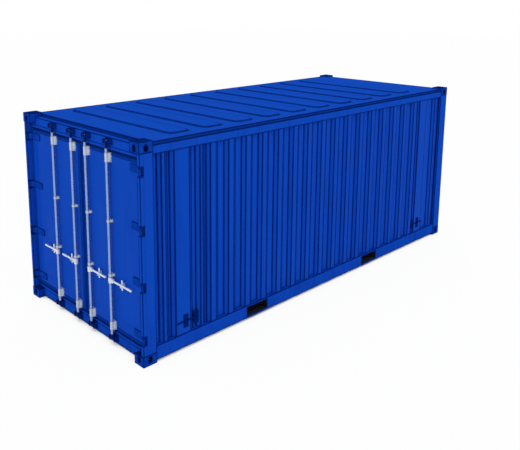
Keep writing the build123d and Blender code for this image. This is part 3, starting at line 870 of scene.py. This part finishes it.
header_low, header_high = corners_of("door_header")
sill_low, sill_high = corners_of("door_sill")
for low, high, seam_z in (
    (header_low, header_high, header_low.z + sealant_from_doors),
    (sill_low, sill_high, sill_high.z - sealant_from_doors),
):
    frame_lines.append([(low.x, low.y, seam_z), (high.x, low.y, seam_z)])
lay_bead("frame_weld_beads", frame_lines, bead_radius)

# %% [markdown]
# ## Weld beads: walls, roof and posts
#
# Each corrugated sheet is welded along its wavy foot and head, so its own rim is the path. The roof
# stands on a folded edge, and its bead follows the outer line of that fold. Where a sheet meets its
# corner posts the seam is a straight upright line, so two points and one edge are enough.

# %% Weld beads: walls, roof and posts
wall_bead_radius = 0.003
post_bead_radius = 0.005
post_bead_inside_wall = 0.003

wall_lines = []
for wall in ("side_wall_left", "side_wall_right", "front_wall"):
    for at_high in (False, True):
        wall_lines += rim_lines(wall, z_axis, at_high)
lay_bead("wall_weld_beads", wall_lines, wall_bead_radius)

roof_low, roof_high = corners_of("roof")


def at_roof_edge(point):
    """True on the outer line of the roof's fold, where it stands on the rails and the end beams."""
    to_side = roof_high.x - abs(point.x)
    to_ends = min(point.y - roof_low.y, roof_high.y - point.y)
    return min(to_side, to_ends) < rim_tolerance


lay_bead("roof_weld_bead", rim_lines("roof", z_axis, False, at_roof_edge), bead_radius)

upright_lines = []
for hand in ("left", "right"):
    wall_low, wall_high = corners_of(f"side_wall_{hand}")
    inner_x = wall_high.x - post_bead_inside_wall if hand == "left" else wall_low.x + post_bead_inside_wall
    for seam_y in (wall_low.y, wall_high.y):
        upright_lines.append(((inner_x, seam_y, wall_low.z), (inner_x, seam_y, wall_high.z)))
lay_bead("post_weld_beads", upright_lines, post_bead_radius)

# %% [markdown]
# ## Bolts, rivets and screws
#
# The brackets of the lock bars are bolted to the doors, the rubber seal is held by rivets from
# inside, and the plywood is screwed to every cross member. All three are a low round or six sided
# head repeated in rows, so one tree places a head on each point of a seed, turned to face out of
# the surface. The number of sides and the sizes are inputs.

# %% Fastener heads: the tree
bolt_radius = 0.0075
bolt_height = 0.005
bolt_sides = 6
quarter_turn = radians(90)


def head_tree(name, material):
    sizes = {"Radius": bolt_radius, "Height": bolt_height, "Sides": bolt_sides, "Tilt": 0.0}
    tree, start, end = empty_tree(name, sizes)
    sides = start.outputs["Sides"]
    head = make_node(tree, "GeometryNodeMeshCylinder", {"fill_type": "NGON"}, Vertices=sides)
    tree.links.new(start.outputs["Radius"], head.inputs["Radius"])
    tree.links.new(start.outputs["Height"], head.inputs["Depth"])
    turn = make_node(tree, "ShaderNodeCombineXYZ", X=start.outputs["Tilt"])
    turned = make_node(tree, "GeometryNodeTransform", Geometry=head.outputs["Mesh"])
    tree.links.new(turn.outputs[0], turned.inputs["Rotation"])
    spots = make_node(tree, "GeometryNodeInstanceOnPoints", Points=start.outputs["Geometry"])
    tree.links.new(turned.outputs[0], spots.inputs["Instance"])
    finish_tree(tree, spots.outputs[0], material, end)
    return tree


fastener_heads = head_tree("Fastener heads", fastener_steel)
print("head tree with", len(fastener_heads.nodes), "nodes")

# %% [markdown]
# ## Bolts on the lock bar brackets
#
# A bracket near the end of a rod has four bolts in its corners. The two small guides between are too
# low for that and have two, one on each side of the rod.

# %% Bolts on the lock bar brackets
bolt_inset = 0.014
bracket_least_height = 0.06
plate_thickness = 0.006

for hand in ("left", "right"):
    leaf_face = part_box(f"door_{hand}_frame")[0][1]
    bolt_y = leaf_face - plate_thickness - bolt_height / 2
    spots = []
    for low, high in solid_boxes(f"door_{hand}_bar_guides"):
        tall = high.z - low.z > bracket_least_height
        heights = (low.z + bolt_inset, high.z - bolt_inset) if tall else ((low.z + high.z) / 2,)
        for x in (low.x + bolt_inset, high.x - bolt_inset):
            spots += [(x, bolt_y, height) for height in heights]
    values = {"Radius": bolt_radius, "Height": bolt_height, "Sides": bolt_sides, "Tilt": quarter_turn}
    name = f"bolts_{hand}_door"
    grown_piece(name, (spots, []), fastener_heads, values, f"{hand}_door")

# %% [markdown]
# ## Outer lips of the door seals
#
# Each leaf carries a rubber seal with an outer lip that is clamped flat on its edge and painted over,
# so the doors show a dark border along the top, the bottom and the line where they meet. It is one
# flat strip with two corners. A sweep would pinch those corners, so the outline is drawn as a C
# shaped face, pushed out by the thickness of the strip, and its edges are rounded a little.

# %% Outer lips of the door seals
lip_width = 0.036
meeting_lip_width = 0.055
lip_thickness = 0.003
lip_rounding = 0.001
lip_short_of_hinges = 0.012


def lip_outline(hand):
    """The corners of a C, open towards the hinges, on the outer face of one leaf."""
    low, high = corners_of(f"door_{hand}_frame")
    meeting, hinged = (high.x, low.x) if hand == "left" else (low.x, high.x)
    way = 1 if hinged > meeting else -1
    end_x = hinged - way * lip_short_of_hinges
    inner_x = meeting + way * meeting_lip_width
    outline = [(end_x, low.z), (meeting, low.z), (meeting, high.z), (end_x, high.z)]
    outline += [(end_x, high.z - lip_width), (inner_x, high.z - lip_width)]
    outline += [(inner_x, low.z + lip_width), (end_x, low.z + lip_width)]
    return [(x, low.y, z) for x, z in outline]


def lip_mesh(name, outline):
    work = bmesh.new()
    face = work.faces.new([work.verts.new(corner) for corner in outline])
    pushed = bmesh.ops.extrude_face_region(work, geom=[face])
    moved = [item for item in pushed["geom"] if isinstance(item, bmesh.types.BMVert)]
    bmesh.ops.translate(work, vec=(0.0, -lip_thickness, 0.0), verts=moved)
    bmesh.ops.bevel(work, geom=work.edges[:], offset=lip_rounding, segments=1, affect="EDGES")
    bmesh.ops.recalc_face_normals(work, faces=work.faces)
    mesh = bpy.data.meshes.new(name)
    work.to_mesh(mesh)
    work.free()
    mesh.materials.append(lip_paint)
    return mesh


for hand in ("left", "right"):
    mesh = lip_mesh(f"seal_lip_{hand}_door", lip_outline(hand))
    ride_on(bpy.data.objects.new(mesh.name, mesh), f"{hand}_door")

# %% [markdown]
# ## Rivets of the door seals
#
# From inside, a row of rivets runs all round each leaf. The pitch is a wish: the side of the leaf is
# divided into the whole number of steps that comes nearest, so the rows end in the corners.

# %% Rivets of the door seals
rivet_pitch = 0.18
rivet_inset = 0.022
rivet_radius = 0.005
rivet_height = 0.003
round_sides = 10

for hand in ("left", "right"):
    low, high = corners_of(f"door_{hand}_frame")
    wide = high.x - low.x - 2 * rivet_inset
    tall = high.z - low.z - 2 * rivet_inset
    across = round(wide / rivet_pitch)
    up = round(tall / rivet_pitch)
    y = high.y + rivet_height / 2
    spots = []
    for step in range(across + 1):
        x = low.x + rivet_inset + wide * step / across
        spots += [(x, y, low.z + rivet_inset), (x, y, high.z - rivet_inset)]
    for step in range(1, up):
        z = low.z + rivet_inset + tall * step / up
        spots += [(low.x + rivet_inset, y, z), (high.x - rivet_inset, y, z)]
    values = {"Radius": rivet_radius, "Height": rivet_height, "Sides": round_sides, "Tilt": quarter_turn}
    name = f"seal_rivets_{hand}_door"
    grown_piece(name, (spots, []), fastener_heads, values, f"{hand}_door")

# %% [markdown]
# ## Floor screws
#
# The boards are screwed down wherever a cross member passes under them, so each solid of that part
# gives one row. The heads are let into the wood by a quarter of their height.

# %% Floor screws over each cross member
screws_across = 12
screw_edge = 0.05
screw_radius = 0.007
screw_height = 0.002
let_in_share = 0.25

floor_low, floor_high = corners_of("floor")
first_x = floor_low.x + screw_edge
row_length = floor_high.x - floor_low.x - 2 * screw_edge
head_z = floor_high.z + screw_height * (0.5 - let_in_share)
spots = []
for low, high in solid_boxes("cross_members"):
    for step in range(screws_across):
        x = first_x + row_length * step / (screws_across - 1)
        spots.append((x, (low.y + high.y) / 2, head_z))
values = {"Radius": screw_radius, "Height": screw_height, "Sides": round_sides}
grown_piece("floor_screws", (spots, []), fastener_heads, values, "container")

# %% [markdown]
# ## White backdrop
#
# The picture shows the container on pure white. A world that lights as strongly as it looks would
# wash out the blue, so it is split by the kind of ray: white to the camera and in reflections, and a
# calmer grey as a light, with which a colour renders about as it is written.

# %% White backdrop
world_light = 0.66
pure_white = (1.0, 1.0, 1.0, 1.0)


def seen_directly(tree):
    """The light path node, and a value that is one where the camera or a mirror looks."""
    path = make_node(tree, "ShaderNodeLightPath")
    return path, calculate(tree, "MAXIMUM", path.outputs["Is Camera Ray"], path.outputs["Is Glossy Ray"])


def mix_to_output(tree, factor, first, second, output_kind):
    mix = make_node(tree, "ShaderNodeMixShader")
    tree.links.new(factor, mix.inputs[0])
    tree.links.new(first.outputs[0], mix.inputs[1])
    tree.links.new(second.outputs[0], mix.inputs[2])
    end = make_node(tree, output_kind)
    tree.links.new(mix.outputs[0], end.inputs["Surface"])


def white_world():
    world = bpy.data.worlds.new("White studio")
    bpy.context.scene.world = world
    world.use_nodes = True
    tree = world.node_tree
    tree.nodes.clear()
    path, seen = seen_directly(tree)
    seen = calculate(tree, "MAXIMUM", seen, path.outputs["Is Transmission Ray"])
    light = make_node(tree, "ShaderNodeBackground", Color=pure_white, Strength=world_light)
    white = make_node(tree, "ShaderNodeBackground", Color=pure_white, Strength=1.0)
    mix_to_output(tree, seen, light, white, "ShaderNodeOutputWorld")


white_world()
print("world light", world_light)

# %% [markdown]
# ## White floor
#
# A matt floor in real light comes out grey, and one that only glows shows no shadow. This one mixes
# both. It glows for the camera and in mirrors but lights nothing, and near the container, where
# little open sky is left over the floor, the glow fades and the matt floor shows with its shadow.

# %% White floor
floor_white = (0.9, 0.9, 0.9, 1.0)
floor_half_size = 60.0
floor_drop = 0.001
floor_glow = 0.95
shade_reach = 0.3
shade_samples = 8
shaded_span = (0.15, 0.55)


def white_floor():
    half = floor_half_size
    corners = [(x, y, -floor_drop) for x, y in ((-half, -half), (half, -half), (half, half), (-half, half))]
    mesh = bpy.data.meshes.new("studio_floor")
    mesh.from_pydata(corners, [], [(0, 1, 2, 3)])
    floor = bpy.data.objects.new("studio_floor", mesh)
    bpy.context.scene.collection.objects.link(floor)
    material = bpy.data.materials.new("White floor")
    material.use_nodes = True
    tree = material.node_tree
    tree.nodes.clear()
    matt = make_node(tree, "ShaderNodeBsdfDiffuse", Color=floor_white)
    glow = make_node(tree, "ShaderNodeEmission", Color=pure_white, Strength=1.0)
    seen = seen_directly(tree)[1]
    sky = make_node(tree, "ShaderNodeAmbientOcclusion", {"samples": shade_samples}, Distance=shade_reach)
    glowing = spread(tree, sky.outputs["AO"], shaded_span, (0.0, floor_glow))
    mix_to_output(tree, calculate(tree, "MULTIPLY", seen, glowing), matt, glow, "ShaderNodeOutputMaterial")
    mesh.materials.append(material)


white_floor()
print("white floor", 2 * floor_half_size, "metres wide")

# %% [markdown]
# ## Light
#
# The picture hardly shades the faces of a corrugated wall: slopes are as bright as flats, and only
# the bends are dark. One sun would make every second slope dark. Four wide and weak suns share the
# work instead: one high over the right side, one on the doors, and two low ones, on the near corner
# and on the far corner, so that no side is left dull when the container is turned.

# %% Light

def add_sun(name, azimuth, elevation, strength, softness):
    """A sun that shines from a compass direction, counted from +X towards +Y, and a height."""
    light = bpy.data.lights.new(name, "SUN")
    light.energy = strength
    light.angle = radians(softness)
    sun = bpy.data.objects.new(name, light)
    bpy.context.scene.collection.objects.link(sun)
    turn = radians(azimuth)
    climb = radians(elevation)
    from_where = Vector((cos(climb) * cos(turn), cos(climb) * sin(turn), sin(climb)))
    sun.rotation_euler = from_where.to_track_quat("Z", "Y").to_euler()


add_sun("Sun over the right side", azimuth=5, elevation=55, strength=0.58, softness=12)
add_sun("Sun on the doors", azimuth=-100, elevation=32, strength=0.49, softness=16)
add_sun("Low sun on the near corner", azimuth=-30, elevation=25, strength=0.25, softness=16)
add_sun("Low sun on the far corner", azimuth=140, elevation=18, strength=0.5, softness=16)
print("suns", len(bpy.data.lights))

# %% [markdown]
# ## Camera
#
# The camera stands off the right hand corner of the doors, a little above the roof, and looks down
# slightly. Its place, turn and focal length were fitted to the corners of the container in the
# picture. The lens is shifted a little, as in the picture, so that the uprights stay nearly parallel.

# %% Camera
picture_wide = 520
picture_high = 450
focal_pixels = 659.6
centre_pixel_x = 220.0
centre_pixel_y = 125.0
camera_place = Vector((6.413, -6.760, 3.842))
camera_turn = radians(47.09)
camera_dip = radians(10.92)
sensor = 36.0
far_clip = 500.0

lens = bpy.data.cameras.new("Picture camera")
lens.sensor_width = sensor
lens.lens = focal_pixels * sensor / picture_wide
lens.shift_x = (picture_wide / 2 - centre_pixel_x) / picture_wide
lens.shift_y = (centre_pixel_y - picture_high / 2) / picture_wide
lens.clip_end = far_clip
camera = bpy.data.objects.new("Picture camera", lens)
bpy.context.scene.collection.objects.link(camera)
camera.location = camera_place
camera.rotation_euler = (quarter_turn - camera_dip, 0.0, camera_turn)
bpy.context.scene.camera = camera
bpy.context.scene.view_settings.view_transform = "Standard"
print("lens", round(lens.lens, 2), "mm, shift", round(lens.shift_x, 3), round(lens.shift_y, 3))
